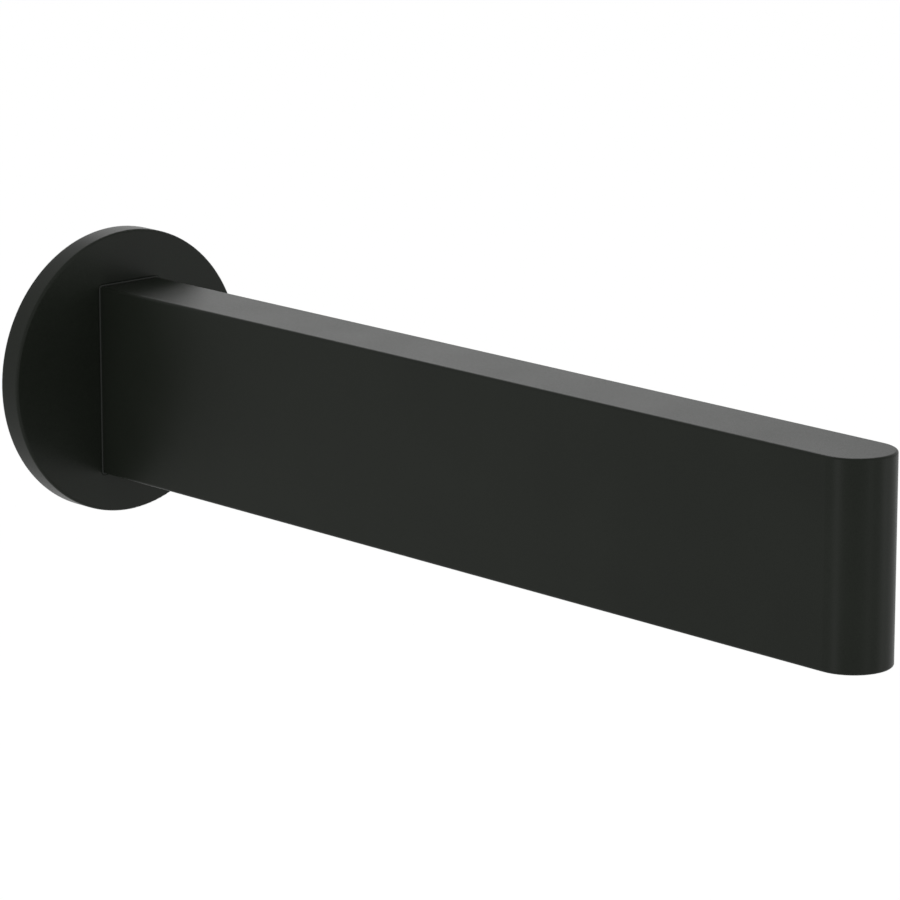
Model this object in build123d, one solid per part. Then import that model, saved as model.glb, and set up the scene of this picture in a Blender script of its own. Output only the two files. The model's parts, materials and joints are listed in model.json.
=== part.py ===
from build123d import *
import os

# Bath spout for a wall, in millimetres. The wall is the plane Y = 0 and the spout projects along -Y,
# with +Z up and +X to the right of someone who faces the wall. The origin is the centre of the
# rosette's back face, where the inlet's axis meets the wall.

# Driving dimensions of the rosette
rosette_diameter = 60.0
rosette_thickness = 5.0
rosette_plate = 2.2  # front plate, before the hollow back
rosette_rim = 4.2  # solid rim round the hollow back
rosette_edge = 0.5  # rounding of the front edge
wall_seal_width = 1.8
wall_seal_depth = 1.6
wall_seal_inset = 1.2  # from the rosette's outside to the seal

# Driving dimensions of the bar
body_width = 15.5
body_height = 40.0
projection = 219.0  # from the wall to the tip
body_standoff = 0.6  # the bar's rear end stands this far in front of the wall
body_drop = 1.0  # the bar's middle lies this far under the rosette's middle
body_edge = 0.5  # rounding of the long edges and of the tip's rims
mouth_bevel = 0.15  # at the mouths of the openings in the underside

# Gasket between the rosette's opening and the bar
lip_width = 0.3
lip_proud = 0.22  # in front of the rosette's face
lip_bevel = 0.18  # from the rosette's face up to the bar
flange_width = 1.6
flange_thickness = 1.2

# Inlet nipple: a G 1/2 outside thread in the wall and a spigot in the bar
thread_diameter = 20.955
thread_length = 14.0
thread_start = 0.6  # the shoulder stands this far behind the wall's face
thread_chamfer = 1.0
nipple_bore_diameter = 8.0
socket_diameter = 12.6
socket_depth = 31.0
socket_chamfer = 0.6
spigot_length = 30.0
spigot_chamfer = 0.6
key_across_flats = 8.0
key_depth = 4.5
ring_groove_depth = 1.1
ring_groove_width = 1.6
ring_places = {"inner": 22.5, "outer": 18.0}  # from the wall to each groove's middle

# Grub screw that locks the bar on the spigot, from below
grub_place = 11.0  # from the wall
grub_diameter = 5.0
grub_length = 6.0
grub_point_length = 1.0
grub_key_across_flats = 2.5
grub_key_depth = 2.6
lock_groove_depth = 0.8
plug_head_diameter = 6.4
plug_head_thickness = 0.8
plug_stem_length = 2.5
plug_edge = 0.3

# Waterway along the bar
waterway_diameter = 10.5

# Outlet in the underside, near the tip
outlet_setback = 28.0  # from the tip to the outlet's middle
frame_length = 38.0
frame_width = 11.5
frame_thickness = 1.8
frame_recess = 0.2  # the frame lies this much deeper than the bar's underside
frame_edge = 0.35  # bevel of the frame's opening
frame_ledge = 1.2  # the frame's opening is this much smaller all round than the cassette
frame_screw_inset = 2.7  # from the frame's end to the screw's middle
frame_screw_diameter = 2.5
frame_screw_head_diameter = 4.4
frame_screw_head_height = 1.1
frame_screw_length = 6.0
frame_screw_slot_width = 0.5
frame_screw_slot_depth = 0.5
cassette_width = 9.6
cassette_end_wall = 1.5  # metal between a screw's hole and the cassette
housing_wall = 0.8
housing_lip_width = 0.5
housing_lip_height = 0.7
straightener_height = 2.4
straightener_cell = 1.45
straightener_web = 0.4
screen_thickness = 0.3
screen_names = ["lower", "upper"]
distributor_thickness = 1.0
distributor_hole_diameter = 1.1
distributor_pitch = 2.1
strainer_thickness = 0.5
strainer_dome_height = 0.8
strainer_rim_width = 0.9
housing_headroom = 0.6  # from the strainer's rim to the housing's top
outlet_seal_thickness = 1.0
outlet_seal_width = 1.1
water_slot_margin = 1.3  # the slot over the seal is this much smaller all round than the cassette

# Clearances
slide_gap = 0.05  # all round a piece that is pushed into its seat
ring_gap = 0.02  # on each side of a sealing ring's section
screw_gap = 0.05  # all round a screw in its hole
drill_margin = 1.0  # how far a cutting tool starts outside the surface that it cuts

# Places that follow from the sizes
body_radius = body_width / 2
body_middle = -body_drop
body_bottom = body_middle - body_height / 2
socket_radius = socket_diameter / 2
spigot_radius = socket_radius - slide_gap
ring_floor = spigot_radius - ring_groove_depth
lock_groove_width = grub_diameter + 2 * screw_gap
hollow_diameter = rosette_diameter - 2 * rosette_rim
hollow_depth = rosette_thickness - rosette_plate
outlet_middle = -(projection - outlet_setback)
frame_bottom = body_bottom + frame_recess
frame_top = frame_bottom + frame_thickness
frame_screw_spacing = frame_length - 2 * frame_screw_inset
cassette_length = frame_screw_spacing - frame_screw_diameter - 2 * (screw_gap + cassette_end_wall)
housing_inner_length = cassette_length - 2 * (slide_gap + housing_wall)
housing_inner_width = cassette_width - 2 * (slide_gap + housing_wall)
straightener_bottom = frame_top + housing_lip_height
straightener_top = straightener_bottom + straightener_height
distributor_bottom = straightener_top + len(screen_names) * screen_thickness
strainer_bottom = distributor_bottom + distributor_thickness
housing_top = strainer_bottom + strainer_thickness + housing_headroom
outlet_seal_top = housing_top + outlet_seal_thickness


def along_wall_axis(depth):
    """Plane square to the inlet's axis, at this distance in front of the wall; it extrudes to -Y."""
    return Plane(origin=(0, -depth, 0), x_dir=(1, 0, 0), z_dir=(0, -1, 0))


def round_bar(diameter, start, end):
    """Cylinder on the inlet's axis, between two distances in front of the wall."""
    return extrude(along_wall_axis(start) * Circle(diameter / 2), amount=end - start)


def turned(outline):
    """Solid of revolution on the inlet's axis from (radius, distance in front of the wall) points."""
    face = make_face(Polyline([(radius, -depth) for radius, depth in outline], close=True))
    return revolve(face, axis=Axis.Y)


def bar_section(margin, start, end):
    """The bar's section, larger all round by a margin, between two distances in front of the wall."""
    sketch = RectangleRounded(body_width + 2 * margin, body_height + 2 * margin, body_edge + margin)
    plane = along_wall_axis(start)
    lowered = Plane(origin=plane.origin + Vector(0, 0, body_middle), x_dir=plane.x_dir, z_dir=plane.z_dir)
    return extrude(lowered * sketch, amount=end - start)


def oblong(length, width, bottom, top):
    """Slot-shaped prism under the bar, centred on the outlet, between two heights."""
    sketch = Pos(0, outlet_middle) * SlotOverall(length, width, rotation=90)
    return extrude(Plane.XY.offset(bottom) * sketch, amount=top - bottom)


def upright(diameter, place, bottom, top):
    """Vertical cylinder in the bar's middle plane, at this Y, between two heights."""
    return extrude(Plane.XY.offset(bottom) * Pos(0, place) * Circle(diameter / 2), amount=top - bottom)


def hexagon(across_flats):
    """Regular hexagon of this size across its flats."""
    return RegularPolygon(across_flats / 2, 6, major_radius=False)


def frame_screw_places():
    """The two screws of the outlet's frame, with the one near the tip named front."""
    return {
        "front": outlet_middle - frame_screw_spacing / 2,
        "back": outlet_middle + frame_screw_spacing / 2,
    }


# Rosette
def make_rosette():
    disc = round_bar(rosette_diameter, 0, rosette_thickness)
    front_edge = disc.edges().filter_by(GeomType.CIRCLE).sort_by(Axis.Y)[0]
    disc = fillet(front_edge, rosette_edge)
    disc -= round_bar(hollow_diameter, -drill_margin, hollow_depth)
    disc -= bar_section(lip_width, -drill_margin, rosette_thickness + drill_margin)
    return disc - wall_seal_ring(0, -drill_margin)


def wall_seal_ring(gap, start):
    outer = rosette_diameter - 2 * (wall_seal_inset + gap)
    inner = rosette_diameter - 2 * (wall_seal_inset + wall_seal_width - gap)
    return round_bar(outer, start, wall_seal_depth) - round_bar(inner, start, wall_seal_depth)


def make_lip_gasket():
    lip = bar_section(lip_width - ring_gap, hollow_depth, rosette_thickness + lip_proud)
    lip = chamfer(lip.faces().sort_by(Axis.Y)[0].edges(), lip_bevel)
    flange = bar_section(lip_width + flange_width, hollow_depth - flange_thickness, hollow_depth)
    flange &= round_bar(hollow_diameter - 2 * slide_gap, 0, hollow_depth)
    return lip + flange - bar_section(ring_gap, -drill_margin, rosette_thickness + drill_margin)


# Bar
def make_bar():
    tip_middle = -(projection - body_radius)
    straight_length = -tip_middle - body_standoff
    plan = Pos(0, tip_middle + straight_length / 2) * Rectangle(body_width, straight_length)
    plan += Pos(0, tip_middle) * Circle(body_radius)
    bar = extrude(Plane.XY.offset(body_bottom) * plan, amount=body_height)
    rims = [edge for edge in bar.edges().filter_by(Plane.XY) if edge.center().Y < -body_radius]
    return fillet(rims, body_edge)


def make_body():
    bar = make_bar()
    bar -= round_bar(socket_diameter, -drill_margin, socket_depth)
    bar -= turned([
        (0, body_standoff - drill_margin),
        (socket_radius + socket_chamfer + drill_margin, body_standoff - drill_margin),
        (socket_radius, body_standoff + socket_chamfer),
        (0, body_standoff + socket_chamfer),
    ])
    bar -= round_bar(waterway_diameter, 0, -outlet_middle)
    bar -= upright(grub_diameter + 2 * screw_gap, -grub_place, body_bottom - drill_margin, 0)
    bar -= upright(
        plug_head_diameter + 2 * screw_gap,
        -grub_place,
        body_bottom - drill_margin,
        body_bottom + plug_head_thickness,
    )
    bar -= oblong(frame_length, frame_width, body_bottom - drill_margin, frame_top)
    bar -= oblong(cassette_length, cassette_width, body_bottom - drill_margin, outlet_seal_top)
    slot_length = cassette_length - 2 * water_slot_margin
    slot_width = cassette_width - 2 * water_slot_margin
    bar -= oblong(slot_length, slot_width, body_bottom - drill_margin, 0)
    for place in frame_screw_places().values():
        top = frame_bottom + frame_screw_length + drill_margin
        bar -= upright(frame_screw_diameter + 2 * screw_gap, place, body_bottom, top)
    underside = bar.faces().sort_by(Axis.Z)[0]
    mouths = [edge for wire in underside.inner_wires() for edge in wire.edges()]
    return chamfer(mouths, mouth_bevel)


# Inlet
def make_nipple():
    shoulder = -thread_start
    end = shoulder - thread_length
    thread_radius = thread_diameter / 2
    nipple = turned([
        (0, end),
        (thread_radius - thread_chamfer, end),
        (thread_radius, end + thread_chamfer),
        (thread_radius, shoulder - thread_chamfer),
        (thread_radius - thread_chamfer, shoulder),
        (spigot_radius, shoulder),
        (spigot_radius, spigot_length - spigot_chamfer),
        (spigot_radius - spigot_chamfer, spigot_length),
        (0, spigot_length),
    ])
    for place in ring_places.values():
        nipple -= groove(place, ring_groove_width, ring_groove_depth)
    nipple -= groove(grub_place, lock_groove_width, lock_groove_depth)
    nipple -= round_bar(nipple_bore_diameter, end - drill_margin, spigot_length + drill_margin)
    key_plane = along_wall_axis(spigot_length - key_depth)
    return nipple - extrude(key_plane * hexagon(key_across_flats), amount=key_depth + drill_margin)


def groove(place, width, depth):
    start = place - width / 2
    end = place + width / 2
    outside = round_bar(socket_diameter + 2 * drill_margin, start, end)
    return outside - round_bar(2 * (spigot_radius - depth), start, end)


def make_ring(place):
    section = (socket_radius - ring_floor) / 2
    middle = (socket_radius + ring_floor) / 2
    return along_wall_axis(place) * Torus(middle, section - ring_gap)


# Grub screw and its plug
def make_grub_screw():
    top = -(spigot_radius - lock_groove_depth) - ring_gap
    bottom = top - grub_length
    screw = upright(grub_diameter, -grub_place, bottom, top)
    point_edge = screw.edges().filter_by(GeomType.CIRCLE).sort_by(Axis.Z)[-1]
    screw = chamfer(point_edge, grub_point_length)
    key_sketch = Plane.XY.offset(bottom) * Pos(0, -grub_place) * hexagon(grub_key_across_flats)
    return screw - extrude(key_sketch, amount=grub_key_depth)


def make_plug():
    head_top = body_bottom + plug_head_thickness
    head = upright(plug_head_diameter, -grub_place, body_bottom, head_top)
    rim = head.edges().filter_by(GeomType.CIRCLE).sort_by(Axis.Z)[0]
    head = fillet(rim, plug_edge)
    return head + upright(grub_diameter, -grub_place, head_top, head_top + plug_stem_length)


# Outlet, from the underside up
def make_frame():
    frame = oblong(frame_length - 2 * slide_gap, frame_width - 2 * slide_gap, frame_bottom, frame_top)
    frame -= oblong(
        cassette_length - 2 * frame_ledge,
        cassette_width - 2 * frame_ledge,
        frame_bottom - drill_margin,
        frame_top + drill_margin,
    )
    opening = frame.faces().sort_by(Axis.Z)[0].inner_wires()[0]
    frame = chamfer(opening.edges(), frame_edge)
    for place in frame_screw_places().values():
        frame -= screw_shape(place, screw_gap)
    return frame


def screw_shape(place, gap):
    """Countersunk screw with its head flush under the frame, larger all round by a gap."""
    shank_radius = frame_screw_diameter / 2 + gap
    head_radius = frame_screw_head_diameter / 2 + gap
    cone_top = frame_bottom + frame_screw_head_height
    outline = [
        (0, frame_bottom),
        (head_radius, frame_bottom),
        (shank_radius, cone_top),
        (shank_radius, frame_bottom + frame_screw_length),
        (0, frame_bottom + frame_screw_length),
    ]
    face = make_face(Plane.XZ * Polyline(outline, close=True))
    return Pos(0, place) * revolve(face, axis=Axis.Z)


def make_frame_screw(place):
    slot = Pos(0, place, frame_bottom + frame_screw_slot_depth / 2) * Box(
        frame_screw_head_diameter, frame_screw_slot_width, frame_screw_slot_depth
    )
    return screw_shape(place, 0) - slot


def make_housing():
    outer_length = cassette_length - 2 * slide_gap
    outer_width = cassette_width - 2 * slide_gap
    housing = oblong(outer_length, outer_width, frame_top, housing_top)
    housing -= oblong(housing_inner_length, housing_inner_width, straightener_bottom, housing_top)
    lip_length = housing_inner_length - 2 * housing_lip_width
    lip_opening = housing_inner_width - 2 * housing_lip_width
    return housing - oblong(lip_length, lip_opening, frame_top - drill_margin, housing_top)


def insert_plate(bottom, top):
    """Plate that drops into the housing, between two heights."""
    length = housing_inner_length - 2 * slide_gap
    width = housing_inner_width - 2 * slide_gap
    return oblong(length, width, bottom, top)


def make_straightener():
    block = insert_plate(straightener_bottom, straightener_top)
    pitch = straightener_cell + straightener_web
    across = int((housing_inner_width - 2 * housing_lip_width) // pitch)
    along = int((housing_inner_length - housing_inner_width) // pitch)
    cells = Pos(0, outlet_middle) * GridLocations(pitch, pitch, across, along)
    cell = Rectangle(straightener_cell, straightener_cell)
    pattern = Sketch() + [place * cell for place in cells]
    return block - extrude(Plane.XY.offset(straightener_bottom) * pattern, amount=straightener_height)


def make_screen(order):
    bottom = straightener_top + order * screen_thickness
    return insert_plate(bottom, bottom + screen_thickness)


def make_distributor():
    plate = insert_plate(distributor_bottom, strainer_bottom)
    across = int((housing_inner_width - 2 * housing_lip_width) // distributor_pitch)
    along = int((housing_inner_length - housing_inner_width) // distributor_pitch)
    places = Pos(0, outlet_middle) * GridLocations(distributor_pitch, distributor_pitch, across, along)
    pattern = Sketch() + [place * Circle(distributor_hole_diameter / 2) for place in places]
    return plate - extrude(Plane.XY.offset(distributor_bottom) * pattern, amount=distributor_thickness)


def make_strainer():
    rim_top = strainer_bottom + strainer_thickness
    rim = insert_plate(strainer_bottom, rim_top)
    dome_length = housing_inner_length - 2 * strainer_rim_width
    dome_width = housing_inner_width - 2 * strainer_rim_width
    dome = oblong(dome_length, dome_width, rim_top, rim_top + strainer_dome_height)
    return rim + dome


def make_outlet_seal():
    length = cassette_length - 2 * slide_gap
    width = cassette_width - 2 * slide_gap
    ring = oblong(length, width, housing_top, outlet_seal_top)
    inner_length = length - 2 * outlet_seal_width
    inner_width = width - 2 * outlet_seal_width
    return ring - oblong(inner_length, inner_width, housing_top, outlet_seal_top)


def make_pieces():
    pieces = {
        "spout_body": make_body(),
        "wall_rosette": make_rosette(),
        "rosette_lip_gasket": make_lip_gasket(),
        "rosette_wall_seal": wall_seal_ring(ring_gap, 0),
        "inlet_nipple": make_nipple(),
        "grub_screw": make_grub_screw(),
        "grub_screw_plug": make_plug(),
        "outlet_frame": make_frame(),
        "stream_housing": make_housing(),
        "stream_straightener": make_straightener(),
        "stream_distributor": make_distributor(),
        "stream_strainer": make_strainer(),
        "outlet_seal": make_outlet_seal(),
    }
    for name, place in ring_places.items():
        pieces[f"nipple_ring_{name}"] = make_ring(place)
    for order, name in enumerate(screen_names):
        pieces[f"stream_screen_{name}"] = make_screen(order)
    for name, place in frame_screw_places().items():
        pieces[f"frame_screw_{name}"] = make_frame_screw(place)
    return pieces


os.makedirs("parts", exist_ok=True)
for node, solid in make_pieces().items():
    export_step(solid, f"parts/{node}.step")
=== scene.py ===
"""Bath spout in matte black: finishes, fine detail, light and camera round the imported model.

Lengths are in metres, in the part's frame: -Y along the spout towards its tip, +Z up, and the
wall's face at Y = 0.
"""

import json
import logging
import math
from collections.abc import Callable, Iterable, Sequence
from dataclasses import dataclass
from enum import Enum
from typing import ClassVar

import bpy
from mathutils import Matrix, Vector

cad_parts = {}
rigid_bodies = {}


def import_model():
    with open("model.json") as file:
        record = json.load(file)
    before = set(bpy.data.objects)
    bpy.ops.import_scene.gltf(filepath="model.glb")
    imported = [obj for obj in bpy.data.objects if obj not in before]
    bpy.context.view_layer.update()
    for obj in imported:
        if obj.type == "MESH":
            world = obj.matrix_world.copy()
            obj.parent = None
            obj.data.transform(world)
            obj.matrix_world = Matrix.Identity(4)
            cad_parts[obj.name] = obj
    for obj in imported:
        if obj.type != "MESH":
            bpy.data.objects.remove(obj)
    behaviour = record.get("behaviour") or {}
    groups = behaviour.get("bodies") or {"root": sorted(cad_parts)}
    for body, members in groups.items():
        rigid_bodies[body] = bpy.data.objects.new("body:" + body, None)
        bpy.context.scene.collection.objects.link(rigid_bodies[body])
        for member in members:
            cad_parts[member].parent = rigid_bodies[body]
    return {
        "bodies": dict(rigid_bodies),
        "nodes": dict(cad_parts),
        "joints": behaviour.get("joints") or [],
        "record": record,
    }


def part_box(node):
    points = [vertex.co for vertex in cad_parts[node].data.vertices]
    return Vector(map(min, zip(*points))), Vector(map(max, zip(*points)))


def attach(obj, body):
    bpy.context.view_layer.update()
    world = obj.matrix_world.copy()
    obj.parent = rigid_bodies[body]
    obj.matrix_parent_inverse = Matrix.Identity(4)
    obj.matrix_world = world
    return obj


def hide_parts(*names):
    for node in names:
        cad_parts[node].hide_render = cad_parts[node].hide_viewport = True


LOG = logging.getLogger("bath_spout")
MM = 0.001
BODY = "root"
WHITE = (1.0, 1.0, 1.0, 1.0)
BAR_MIDDLE = (0.0, -0.1, 0.0)

Socket = bpy.types.NodeSocket
Setting = float | tuple[float, ...]
Points = Sequence[Sequence[float]]
Faces = Sequence[tuple[int, ...]]
RadiusAtAngle = Callable[[float], float]
Ring = tuple[float, RadiusAtAngle]


class Slot(Enum):
    """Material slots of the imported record."""

    COATING = "black_coated_metal"
    RUBBER = "black_rubber"
    BLACK_PLASTIC = "black_plastic"
    GREY_PLASTIC = "grey_plastic"
    STAINLESS = "stainless_steel"
    BLACKENED = "blackened_steel"
    BRASS = "bare_brass"


class SurfaceGroup:
    """A shader node group that puts out a colour, a roughness and a height."""

    INPUTS: ClassVar[tuple[tuple[str, str, Setting], ...]] = (
        ("Colour", "NodeSocketColor", (0.5, 0.5, 0.5, 1.0)),
        ("Shade Spread", "NodeSocketFloat", 0.05),
        ("Roughness", "NodeSocketFloat", 0.5),
        ("Roughness Spread", "NodeSocketFloat", 0.05),
    )
    OUTPUTS: ClassVar[tuple[tuple[str, str], ...]] = (
        ("Colour", "NodeSocketColor"),
        ("Roughness", "NodeSocketFloat"),
        ("Height", "NodeSocketFloat"),
    )

    def __init__(self, name: str) -> None:
        """Makes the group with its sockets.

        Args:
            name: The group's name in the file.
        """
        self.tree = bpy.data.node_groups.new(name, "ShaderNodeTree")
        for label, kind, default in self.INPUTS:
            socket = self.tree.interface.new_socket(label, in_out="INPUT", socket_type=kind)
            socket.default_value = default
        for label, kind in self.OUTPUTS:
            self.tree.interface.new_socket(label, in_out="OUTPUT", socket_type=kind)
        self.source = self.tree.nodes.new("NodeGroupInput")
        self.sink = self.tree.nodes.new("NodeGroupOutput")
        self.wire()

    def wire(self) -> None:
        """Joins the group's nodes; each group has its own."""
        raise NotImplementedError

    def link(self, start: Socket, end: Socket) -> None:
        """Joins two sockets."""
        self.tree.links.new(start, end)

    def place(self) -> Socket:
        """Gives the place on the piece, in the part's frame."""
        return self.tree.nodes.new("ShaderNodeTexCoord").outputs["Object"]

    def math(self, operation: str, first: Socket | float, second: Socket | float) -> Socket:
        """Adds a Math node.

        Args:
            operation: The node's operation.
            first: A socket or a number.
            second: A socket or a number.

        Returns:
            The node's output socket.
        """
        node = self.tree.nodes.new("ShaderNodeMath")
        node.operation = operation
        for socket, value in zip(node.inputs, (first, second)):
            if isinstance(value, Socket):
                self.link(value, socket)
            else:
                socket.default_value = value
        return node.outputs[0]

    def vector_math(self, operation: str, first: Socket, second: Socket) -> Socket:
        """Adds a Vector Math node.

        Args:
            operation: MULTIPLY by another vector, or SCALE by a number.
            first: Socket with a vector or a colour.
            second: Socket with the vector or the number.

        Returns:
            The node's vector socket.
        """
        node = self.tree.nodes.new("ShaderNodeVectorMath")
        node.operation = operation
        self.link(first, node.inputs[0])
        self.link(second, node.inputs["Scale" if operation == "SCALE" else 1])
        return node.outputs["Vector"]

    def noise(self, place: Socket, detail: float, scale: float = 1.0) -> Socket:
        """Adds a Noise Texture node.

        Args:
            place: Socket with the place to look up.
            detail: Octaves of finer noise.
            scale: Cells per unit of the place.

        Returns:
            Socket with the noise, from 0 to 1.
        """
        node = self.tree.nodes.new("ShaderNodeTexNoise")
        node.inputs["Scale"].default_value = scale
        node.inputs["Detail"].default_value = detail
        self.link(place, node.inputs["Vector"])
        return node.outputs["Fac"]

    def swing(self, noise: Socket, spread: Socket) -> Socket:
        """Turns noise from 0 to 1 into a number about 0, up to the spread each way."""
        centred = self.math("SUBTRACT", noise, 0.5)
        return self.math("MULTIPLY", self.math("MULTIPLY", centred, 2.0), spread)

    def put_out(self, pattern: Socket, height: Socket) -> None:
        """Joins the group's outputs.

        Args:
            pattern: Socket with noise from 0 to 1, which varies the colour and the roughness.
            height: Socket with the height.
        """
        inputs, outputs = self.source.outputs, self.sink.inputs
        shade = self.math("ADD", self.swing(pattern, inputs["Shade Spread"]), 1.0)
        self.link(self.vector_math("SCALE", inputs["Colour"], shade), outputs["Colour"])
        change = self.swing(pattern, inputs["Roughness Spread"])
        self.link(self.math("ADD", inputs["Roughness"], change), outputs["Roughness"])
        self.link(height, outputs["Height"])


class GrainGroup(SurfaceGroup):
    """Fine even grain, with broad soft clouds, of a coated, moulded or rubber surface.

    Grain is in cells per metre, and Cloud Share is how much of the pattern the clouds make up.
    """

    INPUTS = (
        *SurfaceGroup.INPUTS,
        ("Grain", "NodeSocketVector", (1000.0, 1000.0, 1000.0)),
        ("Cloud Share", "NodeSocketFloat", 0.5),
    )
    GRAIN_DETAIL: ClassVar[float] = 2.0
    CLOUD_DETAIL: ClassVar[float] = 1.0
    CLOUDS_PER_GRAIN: ClassVar[float] = 0.012

    def wire(self) -> None:
        """Joins grain and clouds to the outputs."""
        inputs = self.source.outputs
        place = self.vector_math("MULTIPLY", self.place(), inputs["Grain"])
        grain = self.noise(place, self.GRAIN_DETAIL)
        clouds = self.noise(place, self.CLOUD_DETAIL, self.CLOUDS_PER_GRAIN)
        cloudy = self.math("MULTIPLY", clouds, inputs["Cloud Share"])
        grain_share = self.math("SUBTRACT", 1.0, inputs["Cloud Share"])
        pattern = self.math("ADD", cloudy, self.math("MULTIPLY", grain, grain_share))
        self.put_out(pattern, grain)


class ToolMarkGroup(SurfaceGroup):
    """Fine lines that a die or a brush leaves in metal, with faint stains.

    Marks are in lines per metre along each axis, and Stains in stains per metre.
    """

    INPUTS = (
        *SurfaceGroup.INPUTS,
        ("Marks", "NodeSocketVector", (100.0, 4000.0, 100.0)),
        ("Stains", "NodeSocketFloat", 150.0),
    )
    MARK_DETAIL: ClassVar[float] = 3.0
    STAIN_DETAIL: ClassVar[float] = 2.0

    def wire(self) -> None:
        """Joins marks and stains to the outputs."""
        inputs = self.source.outputs
        mark_place = self.vector_math("MULTIPLY", self.mark_place(), inputs["Marks"])
        marks = self.noise(mark_place, self.MARK_DETAIL)
        stain_place = self.vector_math("SCALE", self.place(), inputs["Stains"])
        stains = self.noise(stain_place, self.STAIN_DETAIL)
        pattern = self.math("MULTIPLY", self.math("ADD", marks, stains), 0.5)
        self.put_out(pattern, marks)

    def mark_place(self) -> Socket:
        """Gives the place that straight marks are looked up at."""
        return self.place()


class TurnedMarkGroup(ToolMarkGroup):
    """Rings that a lathe leaves on a piece turned about the inlet's axis.

    Marks are in rings per metre outwards and along the axis, and in breaks per metre across it.
    """

    def mark_place(self) -> Socket:
        """Gives the distance from the axis, the place along it and the place across it.

        Returns:
            Socket with the three as a vector.
        """
        parts = self.tree.nodes.new("ShaderNodeSeparateXYZ")
        self.link(self.place(), parts.inputs[0])
        across, along, up = parts.outputs
        across_squared = self.math("MULTIPLY", across, across)
        squares = self.math("ADD", across_squared, self.math("MULTIPLY", up, up))
        outwards = self.math("POWER", squares, 0.5)
        turned = self.tree.nodes.new("ShaderNodeCombineXYZ")
        for socket, value in zip(turned.inputs, (outwards, along, across)):
            self.link(value, socket)
        return turned.outputs[0]


@dataclass(frozen=True)
class Finish:
    """One finish of the spout, which places a surface group before its shader.

    Attributes:
        name: The material's name.
        slot: The record's slot that it dresses.
        group: The surface group that gives its pattern.
        colour: Mean base colour, linear.
        roughness: Mean roughness.
        metallic: 1 for bare metal, 0 for the rest.
        specular: Specular level of the shader.
        relief: Height of the pattern's relief.
        relief_strength: How much of the relief the light shows.
        edge_softness: Radius over which the normals are evened out, or 0 for none.
        values: The group's own inputs, by name.
    """

    EDGE_SAMPLES: ClassVar[int] = 8

    name: str
    slot: Slot
    group: type[SurfaceGroup]
    colour: tuple[float, float, float]
    roughness: float
    metallic: float = 0.0
    specular: float = 0.5
    relief: float = 0.02 * MM
    relief_strength: float = 0.2
    edge_softness: float = 0.0
    values: tuple[tuple[str, Setting], ...] = ()

    def build(self, groups: dict[type[SurfaceGroup], SurfaceGroup]) -> bpy.types.Material:
        """Makes the material.

        Args:
            groups: The surface groups that are already made; a missing one is added.

        Returns:
            The material.
        """
        if self.group not in groups:
            groups[self.group] = self.group(self.group.__name__)
        material = bpy.data.materials.new(self.name)
        material.use_nodes = True
        tree = material.node_tree
        surface = tree.nodes.new("ShaderNodeGroup")
        surface.node_tree = groups[self.group].tree
        surface.inputs["Colour"].default_value = (*self.colour, 1.0)
        surface.inputs["Roughness"].default_value = self.roughness
        for label, value in self.values:
            surface.inputs[label].default_value = value
        shader = tree.nodes["Principled BSDF"]
        shader.inputs["Metallic"].default_value = self.metallic
        shader.inputs["Specular IOR Level"].default_value = self.specular
        tree.links.new(surface.outputs["Colour"], shader.inputs["Base Color"])
        tree.links.new(surface.outputs["Roughness"], shader.inputs["Roughness"])
        normal = self.relief_normal(tree, surface.outputs["Height"])
        tree.links.new(normal, shader.inputs["Normal"])
        return material

    def relief_normal(self, tree: bpy.types.NodeTree, height: Socket) -> Socket:
        """Turns the pattern's height into a normal.

        Args:
            tree: The material's nodes.
            height: Socket with the height.

        Returns:
            Socket with the normal.
        """
        bump = tree.nodes.new("ShaderNodeBump")
        bump.inputs["Distance"].default_value = self.relief
        bump.inputs["Strength"].default_value = self.relief_strength
        tree.links.new(height, bump.inputs["Height"])
        if self.edge_softness:
            soft = tree.nodes.new("ShaderNodeBevel")
            soft.samples = self.EDGE_SAMPLES
            soft.inputs["Radius"].default_value = self.edge_softness
            tree.links.new(soft.outputs["Normal"], bump.inputs["Normal"])
        return bump.outputs["Normal"]


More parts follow.
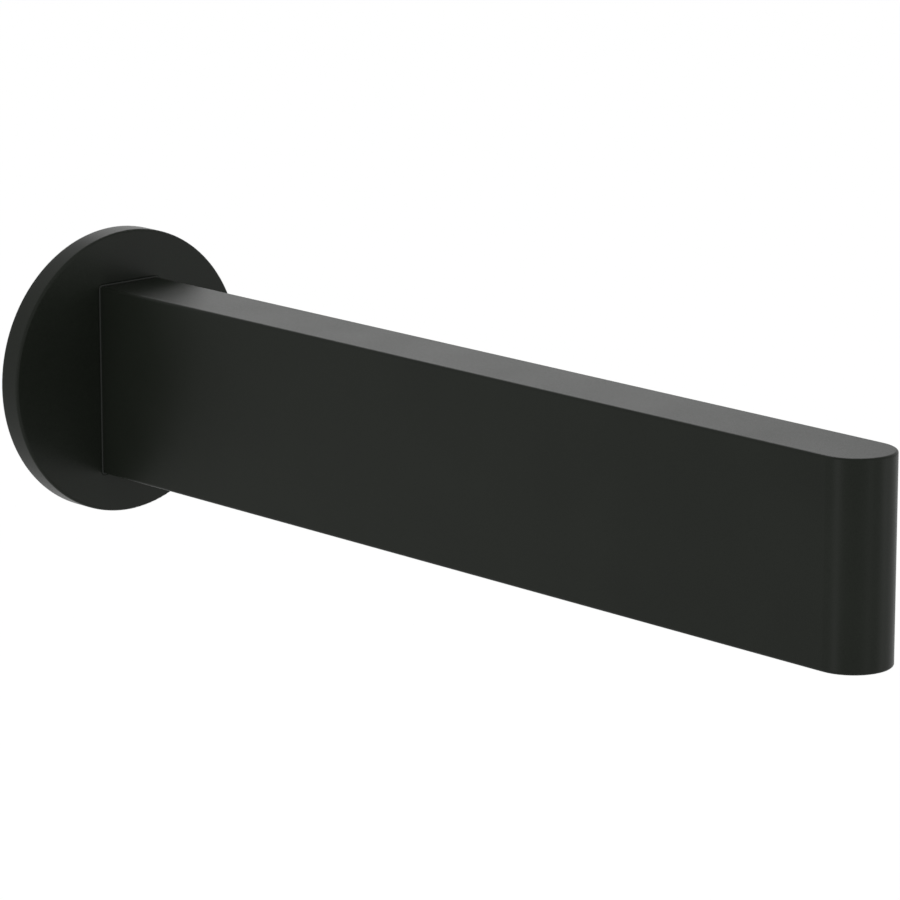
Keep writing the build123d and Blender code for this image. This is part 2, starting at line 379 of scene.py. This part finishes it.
FINISHES = (
    Finish(
        name="satin_black_coating",
        slot=Slot.COATING,
        group=GrainGroup,
        colour=(0.0082, 0.0098, 0.0075),
        roughness=0.36,
        specular=0.085,
        relief=0.03 * MM,
        relief_strength=0.5,
        edge_softness=0.4 * MM,
        values=(
            ("Grain", (4500.0, 4500.0, 4500.0)),
            ("Shade Spread", 0.5),
            ("Roughness Spread", 0.12),
            ("Cloud Share", 0.25),
        ),
    ),
    Finish(
        name="moulded_black_rubber",
        slot=Slot.RUBBER,
        group=GrainGroup,
        colour=(0.0112, 0.0128, 0.0108),
        roughness=0.55,
        specular=0.15,
        values=(
            ("Grain", (5000.0, 5000.0, 5000.0)),
            ("Shade Spread", 0.2),
            ("Roughness Spread", 0.08),
        ),
    ),
    Finish(
        name="moulded_black_plastic",
        slot=Slot.BLACK_PLASTIC,
        group=GrainGroup,
        colour=(0.012, 0.012, 0.012),
        roughness=0.5,
        specular=0.35,
        values=(
            ("Grain", (6000.0, 6000.0, 6000.0)),
            ("Shade Spread", 0.15),
            ("Roughness Spread", 0.06),
        ),
    ),
    Finish(
        name="moulded_grey_plastic",
        slot=Slot.GREY_PLASTIC,
        group=GrainGroup,
        colour=(0.16, 0.165, 0.17),
        roughness=0.42,
        values=(
            ("Grain", (6000.0, 6000.0, 6000.0)),
            ("Shade Spread", 0.06),
            ("Roughness Spread", 0.05),
        ),
    ),
    Finish(
        name="bright_stainless_steel",
        slot=Slot.STAINLESS,
        group=ToolMarkGroup,
        colour=(0.56, 0.55, 0.53),
        roughness=0.3,
        metallic=1.0,
        relief=0.01 * MM,
        values=(("Marks", (3000.0, 3000.0, 300.0)), ("Roughness Spread", 0.08)),
    ),
    Finish(
        name="blackened_screw_steel",
        slot=Slot.BLACKENED,
        group=ToolMarkGroup,
        colour=(0.05, 0.05, 0.052),
        roughness=0.38,
        metallic=1.0,
        relief=0.01 * MM,
        values=(("Marks", (2500.0, 2500.0, 400.0)), ("Roughness Spread", 0.08)),
    ),
    Finish(
        name="turned_brass",
        slot=Slot.BRASS,
        group=TurnedMarkGroup,
        colour=(0.66, 0.46, 0.19),
        roughness=0.3,
        metallic=1.0,
        relief_strength=0.3,
        values=(
            ("Marks", (5000.0, 5000.0, 90.0)),
            ("Shade Spread", 0.25),
            ("Roughness Spread", 0.12),
        ),
    ),
)


class Workshop:
    """The frame's nodes and the finishes, which every sub-assembly is dressed with."""

    def __init__(self, frame: dict) -> None:
        """Makes all materials.
        """
        self.nodes: dict[str, bpy.types.Object] = frame["nodes"]
        groups: dict[type[SurfaceGroup], SurfaceGroup] = {}
        self.materials = {finish.slot: finish.build(groups) for finish in FINISHES}

    def dress(self, names: Iterable[str], slot: Slot) -> None:
        """Gives CAD nodes their finish.

        Args:
            names: Names of the nodes.
            slot: The finish.
        """
        for name in names:
            mesh = self.nodes[name].data
            mesh.materials.clear()
            mesh.materials.append(self.materials[slot])
            LOG.info("dressed %s in %s", name, slot.value)

    def add(
        self, name: str, points: Points, faces: Faces, slot: Slot, replaced: str
    ) -> bpy.types.Object:
        """Makes a mesh piece that stands for a CAD node.

        Args:
            name: The piece's name.
            points: The mesh's corners.
            faces: Corner numbers of each face.
            slot: The finish.
            replaced: The node that it stands for.

        Returns:
            The new object.
        """
        mesh = bpy.data.meshes.new(name)
        mesh.from_pydata(points, [], faces)
        mesh.materials.append(self.materials[slot])
        piece = bpy.data.objects.new(name, mesh)
        bpy.context.scene.collection.objects.link(piece)
        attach(piece, BODY)
        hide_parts(replaced)
        LOG.info("made %s with %d faces", name, len(faces))
        return piece


@dataclass
class WallCover:
    """Rosette, the gasket at its opening and the seal at its back."""

    shop: Workshop

    def dress(self) -> None:
        """Gives the cover's pieces their finishes."""
        self.shop.dress(("wall_rosette",), Slot.COATING)
        self.shop.dress(("rosette_lip_gasket", "rosette_wall_seal"), Slot.RUBBER)


@dataclass
class Bar:
    """The spout's bar with its locking screw."""

    shop: Workshop

    def dress(self) -> None:
        """Gives the bar's pieces their finishes."""
        self.shop.dress(("spout_body",), Slot.COATING)
        self.shop.dress(("grub_screw_plug",), Slot.BLACK_PLASTIC)
        self.shop.dress(("grub_screw",), Slot.STAINLESS)


@dataclass
class Inlet:
    """Threaded nipple and its rings.

    Attributes:
        shop: Nodes and finishes.
        crest_radius: Radius of the thread's crests.
        thread_depth: Depth of the thread.
        pitch: Distance from one crest to the next.
        flank_straightness: Share of the thread's wave that is straight; the rest is rounded.
        chamfer: Chamfer at both ends of the thread.
        shoulder: Start of the thread, behind the wall's face.
        end: End of the thread, behind the wall's face.
        bore_radius: Radius of the bore.
        key_half_flats: Half the hexagon socket's width across its flats.
        key_depth: Depth of the hexagon socket.
        spigot_radius: Radius of the spigot.
        spigot_length: How far the spigot reaches into the bar.
        spigot_chamfer: Chamfer at the spigot's end.
        grooves: Each groove's middle, width and depth, from the wall's face towards the tip.
        smooth_angle: Edges up to this angle are shaded smooth.
        steps_round: Corners round the axis.
        steps_per_pitch: Rings of corners in each turn of the thread.
    """

    shop: Workshop
    crest_radius: float = 10.4775 * MM
    thread_depth: float = 1.162 * MM
    pitch: float = 1.814 * MM
    flank_straightness: float = 0.65
    chamfer: float = 1.0 * MM
    shoulder: float = 0.6 * MM
    end: float = 14.6 * MM
    bore_radius: float = 4.0 * MM
    key_half_flats: float = 4.0 * MM
    key_depth: float = 4.5 * MM
    spigot_radius: float = 6.25 * MM
    spigot_length: float = 30.0 * MM
    spigot_chamfer: float = 0.6 * MM
    grooves: tuple[tuple[float, float, float], ...] = (
        (11.0 * MM, 5.1 * MM, 0.8 * MM),
        (18.0 * MM, 1.6 * MM, 1.1 * MM),
        (22.5 * MM, 1.6 * MM, 1.1 * MM),
    )
    smooth_angle: float = math.radians(35)
    steps_round: int = 120
    steps_per_pitch: int = 16

    def dress(self) -> None:
        """Gives the rings their finish and builds the nipple with its real thread."""
        self.shop.dress(("nipple_ring_inner", "nipple_ring_outer"), Slot.RUBBER)
        points, faces = self.lathe(self.rings())
        piece = self.shop.add("threaded_nipple", points, faces, Slot.BRASS, "inlet_nipple")
        piece.data.shade_smooth()
        piece.data.set_sharp_from_angle(angle=self.smooth_angle)

    def thread_radius(self, place: float, angle: float) -> float:
        """Radius of the thread's surface.

        Args:
            place: Distance behind the wall's face.
            angle: Angle round the inlet's axis.

        Returns:
            The radius, with rounded crests and roots and both end chamfers.
        """
        turn = (place / self.pitch - angle / math.tau) % 1.0
        straight = 1.0 - abs(2.0 * turn - 1.0)
        rounded = 0.5 - 0.5 * math.cos(math.pi * straight)
        share = self.flank_straightness
        wave = share * straight + (1.0 - share) * rounded
        radius = self.crest_radius - self.thread_depth * (1.0 - wave)
        near_end = min(place - self.shoulder, self.end - place)
        return min(radius, self.crest_radius - self.chamfer + max(near_end, 0.0))

    def rings(self) -> list[Ring]:
        """Lists the rings of the lathe, from the thread's end round to the bore's end.

        Returns:
            Pairs of Y and a function that gives the radius at an angle.
        """
        rings: list[Ring] = []
        rows = round((self.end - self.shoulder) / self.pitch * self.steps_per_pitch)
        for row in range(rows + 1):
            place = self.end - (self.end - self.shoulder) * row / rows
            rings.append((place, lambda angle, place=place: self.thread_radius(place, angle)))
        for depth, radius in self.spigot_outline():
            rings.append((-depth, lambda angle, radius=radius: radius))
        key_end = -self.spigot_length + self.key_depth
        rings.append((-self.spigot_length, self.key_radius))
        rings.append((key_end, self.key_radius))
        rings.append((key_end, lambda angle: self.bore_radius))
        rings.append((self.end, lambda angle: self.bore_radius))
        return rings

    def spigot_outline(self) -> list[tuple[float, float]]:
        """Lists the spigot's corners with its grooves.

        Returns:
            Pairs of distance in front of the wall and radius.
        """
        top = self.spigot_radius
        outline = [(-self.shoulder, top)]
        for middle, width, depth in self.grooves:
            start, stop = middle - width / 2, middle + width / 2
            outline += [(start, top), (start, top - depth), (stop, top - depth), (stop, top)]
        outline.append((self.spigot_length - self.spigot_chamfer, top))
        outline.append((self.spigot_length, top - self.spigot_chamfer))
        return outline

    def key_radius(self, angle: float) -> float:
        """Radius of the hexagon socket at an angle."""
        sector = math.pi / 3
        return self.key_half_flats / math.cos((angle + sector / 2) % sector - sector / 2)

    def lathe(self, rings: Sequence[Ring]) -> tuple[Points, Faces]:
        """Makes a closed skin through rings about the Y axis.

        Args:
            rings: Pairs of Y and a radius function.

        Returns:
            Points and faces; the last ring joins the first.
        """
        count = self.steps_round
        points = []
        for y, radius in rings:
            for step in range(count):
                angle = math.tau * step / count
                distance = radius(angle)
                points.append((distance * math.cos(angle), y, distance * math.sin(angle)))
        faces = []
        for ring in range(len(rings)):
            here, there = ring * count, (ring + 1) % len(rings) * count
            for step in range(count):
                beside = (step + 1) % count
                faces.append((here + step, here + beside, there + beside, there + step))
        return points, faces


@dataclass(frozen=True)
class Wire:
    """One wavy wire of a woven screen.

    Attributes:
        middle: The wire's middle.
        along: The wire's direction.
        reach: Half the wire's length.
        order: The wire's number, which sets where it passes over.
    """

    middle: Vector
    along: Vector
    reach: float
    order: int


@dataclass
class Outlet:
    """Stream former in the underside, with its frame and screws.

    Attributes:
        shop: Nodes and finishes.
        wire_pitch: Distance from one wire of the screens to the next.
        wire_diameter: Diameter of a wire.
        wire_sides: Corners round a wire.
        steps_per_pitch: Steps along a wire from one crossing to the next.
    """

    shop: Workshop
    wire_pitch: float = 0.5 * MM
    wire_diameter: float = 0.14 * MM
    wire_sides: int = 6
    steps_per_pitch: int = 2

    def dress(self) -> None:
        """Gives the outlet's pieces their finishes and weaves its screens."""
        self.shop.dress(("outlet_frame",), Slot.COATING)
        self.shop.dress(("frame_screw_front", "frame_screw_back"), Slot.BLACKENED)
        self.shop.dress(("stream_housing",), Slot.BLACK_PLASTIC)
        self.shop.dress(("stream_straightener", "stream_distributor"), Slot.GREY_PLASTIC)
        self.shop.dress(("stream_strainer",), Slot.STAINLESS)
        self.shop.dress(("outlet_seal",), Slot.RUBBER)
        for place in ("lower", "upper"):
            self.weave(f"woven_screen_{place}", f"stream_screen_{place}")

    def weave(self, name: str, node: str) -> None:
        """Weaves one screen in the place of its plate.

        Args:
            name: The screen's name.
            node: The plate that it stands for.
        """
        points: list[Vector] = []
        faces: list[tuple[int, ...]] = []
        for wire in self.wires(*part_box(node)):
            self.add_wire(points, faces, wire)
        piece = self.shop.add(name, points, faces, Slot.STAINLESS, node)
        piece.data.shade_smooth()

    def wires(self, low: Vector, high: Vector) -> list[Wire]:
        """Lists the wires that fill an oblong with round ends.

        Args:
            low: The oblong's lowest corner.
            high: The oblong's highest corner.

        Returns:
            The wires along the spout, and then those across it.
        """
        middle = (low + high) / 2
        half_width, half_length = (high.x - low.x) / 2, (high.y - low.y) / 2
        straight = half_length - half_width
        lanes = int(half_width / self.wire_pitch)
        rows = int(half_length / self.wire_pitch)
        wires = []
        for lane in range(-lanes, lanes + 1):
            x = lane * self.wire_pitch
            reach = straight + math.sqrt(half_width**2 - x**2)
            wires.append(Wire(middle + Vector((x, 0, 0)), Vector((0, 1, 0)), reach, lane))
        for row in range(-rows, rows + 1):
            y = row * self.wire_pitch
            beyond = max(abs(y) - straight, 0.0)
            reach = math.sqrt(half_width**2 - beyond**2)
            wires.append(Wire(middle + Vector((0, y, 0)), Vector((1, 0, 0)), reach, row + 1))
        return wires

    def add_wire(self, points: list[Vector], faces: list[tuple[int, ...]], wire: Wire) -> None:
        """Adds one wire to a screen's mesh.

        Args:
            points: The mesh's points so far.
            faces: The mesh's faces so far.
            wire: The wire.
        """
        up = Vector((0, 0, 1))
        radius = self.wire_diameter / 2
        reach = wire.reach - radius
        across = wire.along.cross(up)
        steps = max(2, round(self.steps_per_pitch * 2 * reach / self.wire_pitch))
        first, sides = len(points), self.wire_sides
        for step in range(steps + 1):
            place = reach * (2 * step / steps - 1)
            swing = radius * math.cos(math.pi * (place / self.wire_pitch + wire.order))
            centre = wire.middle + wire.along * place + up * swing
            for side in range(sides):
                angle = math.tau * side / sides
                rim = across * math.cos(angle) + up * math.sin(angle)
                points.append(centre + rim * radius)
        for step in range(steps):
            here = first + step * sides
            there = here + sides
            for side in range(sides):
                beside = (side + 1) % sides
                faces.append((here + side, here + beside, there + beside, there + side))
        last = first + steps * sides
        faces.append(tuple(first + side for side in reversed(range(sides))))
        faces.append(tuple(last + side for side in range(sides)))


@dataclass(frozen=True)
class SoftBox:
    """One soft lamp, which faces the bar's middle from a direction round and above it.

    Attributes:
        name: The lamp's name.
        azimuth: Degrees from +X towards +Y.
        elevation: Degrees above the bar.
        width: Width of the lamp.
        tallness: Height of the lamp.
        radiance: How bright the lamp looks beside the white surroundings, which are 1.
        distance: From the lamp to the bar's middle.
    """

    name: str
    azimuth: float
    elevation: float
    width: float
    tallness: float
    radiance: float
    distance: float = 2.5

    def build(self) -> None:
        """Makes the lamp."""
        turn, tilt = math.radians(self.azimuth), math.radians(self.elevation)
        level = math.cos(tilt)
        outward = Vector((math.cos(turn) * level, math.sin(turn) * level, math.sin(tilt)))
        data = bpy.data.lights.new(self.name, "AREA")
        data.shape = "RECTANGLE"
        data.size = self.width
        data.size_y = self.tallness
        data.energy = math.pi * self.width * self.tallness * self.radiance
        lamp = bpy.data.objects.new(self.name, data)
        lamp.location = Vector(BAR_MIDDLE) + outward * self.distance
        lamp.rotation_euler = (-outward).to_track_quat("-Z", "Y").to_euler()
        bpy.context.scene.collection.objects.link(lamp)
        LOG.info("made lamp %s", self.name)


SOFT_BOXES = (
    SoftBox("left_softbox", azimuth=179.0, elevation=0.0, width=0.55, tallness=2.0, radiance=3.7),
    SoftBox("front_softbox", azimuth=265.0, elevation=0.0, width=0.5, tallness=2.0, radiance=1.65),
    SoftBox("right_softbox", azimuth=310.0, elevation=0.0, width=0.5, tallness=2.0, radiance=2.2),
    SoftBox(
        "rear_low_softbox", azimuth=50.0, elevation=14.0, width=0.9, tallness=0.9, radiance=0.23
    ),
    SoftBox(
        "rear_high_softbox", azimuth=50.0, elevation=38.0, width=0.9, tallness=1.0, radiance=2.25
    ),
)


@dataclass
class Studio:
    """White surroundings, a floor far below, and the photograph's viewpoint.

    Attributes:
        floor_height: Height of the floor; the spout hangs on a wall above it.
        floor_reach: Half the floor's side.
        sensor: Width of the camera's sensor, in millimetres.
        frame_pixels: Width of the photograph.
        focal_pixels: Focal length in pixels of the photograph.
        azimuth: Degrees from -Y towards +X, from the bar's middle to the camera.
        elevation: Degrees above the bar's middle.
        distance: From the bar's middle to the camera.
        slide_right: Sideways move of the camera, which frames the spout as in the photograph.
        slide_up: The same, upwards.
        clip_start: Nearest distance that the camera sees.
        clip_end: Farthest distance that the camera sees.
    """

    floor_height: float = -2.0
    floor_reach: float = 20.0
    sensor: float = 36.0
    frame_pixels: float = 900.0
    focal_pixels: float = 4851.0
    azimuth: float = -42.621
    elevation: float = 13.345
    distance: float = 0.95146
    slide_right: float = 2.847 * MM
    slide_up: float = -0.58 * MM
    clip_start: float = 0.01
    clip_end: float = 50.0

    def build(self) -> None:
        """Makes the world, the floor, the lamps and the camera."""
        self.make_world()
        self.make_floor()
        for box in SOFT_BOXES:
            box.build()
        self.make_camera()

    def make_world(self) -> None:
        """Makes plain white surroundings."""
        world = bpy.data.worlds.new("white_studio")
        world.use_nodes = True
        background = world.node_tree.nodes["Background"]
        background.inputs["Color"].default_value = WHITE
        background.inputs["Strength"].default_value = 1.0
        bpy.context.scene.world = world

    def make_floor(self) -> None:
        """Makes a white floor, out of the object's reach."""
        reach, height = self.floor_reach, self.floor_height
        turns = ((-1, -1), (1, -1), (1, 1), (-1, 1))
        mesh = bpy.data.meshes.new("floor")
        mesh.from_pydata([(x * reach, y * reach, height) for x, y in turns], [], [(0, 1, 2, 3)])
        material = bpy.data.materials.new("white_floor")
        material.use_nodes = True
        shader = material.node_tree.nodes["Principled BSDF"]
        shader.inputs["Base Color"].default_value = WHITE
        shader.inputs["Roughness"].default_value = 1.0
        shader.inputs["Specular IOR Level"].default_value = 0.0
        mesh.materials.append(material)
        floor = bpy.data.objects.new("floor", mesh)
        bpy.context.scene.collection.objects.link(floor)

    def make_camera(self) -> None:
        """Places the camera as fitted to the photograph's outline."""
        turn, tilt = math.radians(self.azimuth), math.radians(self.elevation)
        level = math.cos(tilt)
        back = Vector((math.sin(turn) * level, -math.cos(turn) * level, math.sin(tilt)))
        right = Vector((math.cos(turn), math.sin(turn), 0.0))
        up = back.cross(right)
        spot = Vector(BAR_MIDDLE) + back * self.distance
        data = bpy.data.cameras.new("camera")
        data.sensor_width = self.sensor
        data.lens = self.focal_pixels / self.frame_pixels * self.sensor
        data.clip_start = self.clip_start
        data.clip_end = self.clip_end
        camera = bpy.data.objects.new("camera", data)
        camera.rotation_mode = "QUATERNION"
        camera.rotation_quaternion = (-back).to_track_quat("-Z", "Y")
        camera.location = spot + right * self.slide_right + up * self.slide_up
        bpy.context.scene.collection.objects.link(camera)
        bpy.context.scene.camera = camera


def main() -> None:
    """Builds the dressed spout and its studio."""
    shop = Workshop(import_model())
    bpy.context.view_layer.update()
    for assembly in (WallCover(shop), Bar(shop), Inlet(shop), Outlet(shop)):
        assembly.dress()
        LOG.info("finished %s", type(assembly).__name__)
    Studio().build()
    bpy.context.scene.view_settings.view_transform = "Standard"


if __name__ == "__main__":
    logging.basicConfig(level=logging.INFO, format="%(message)s")
    main()
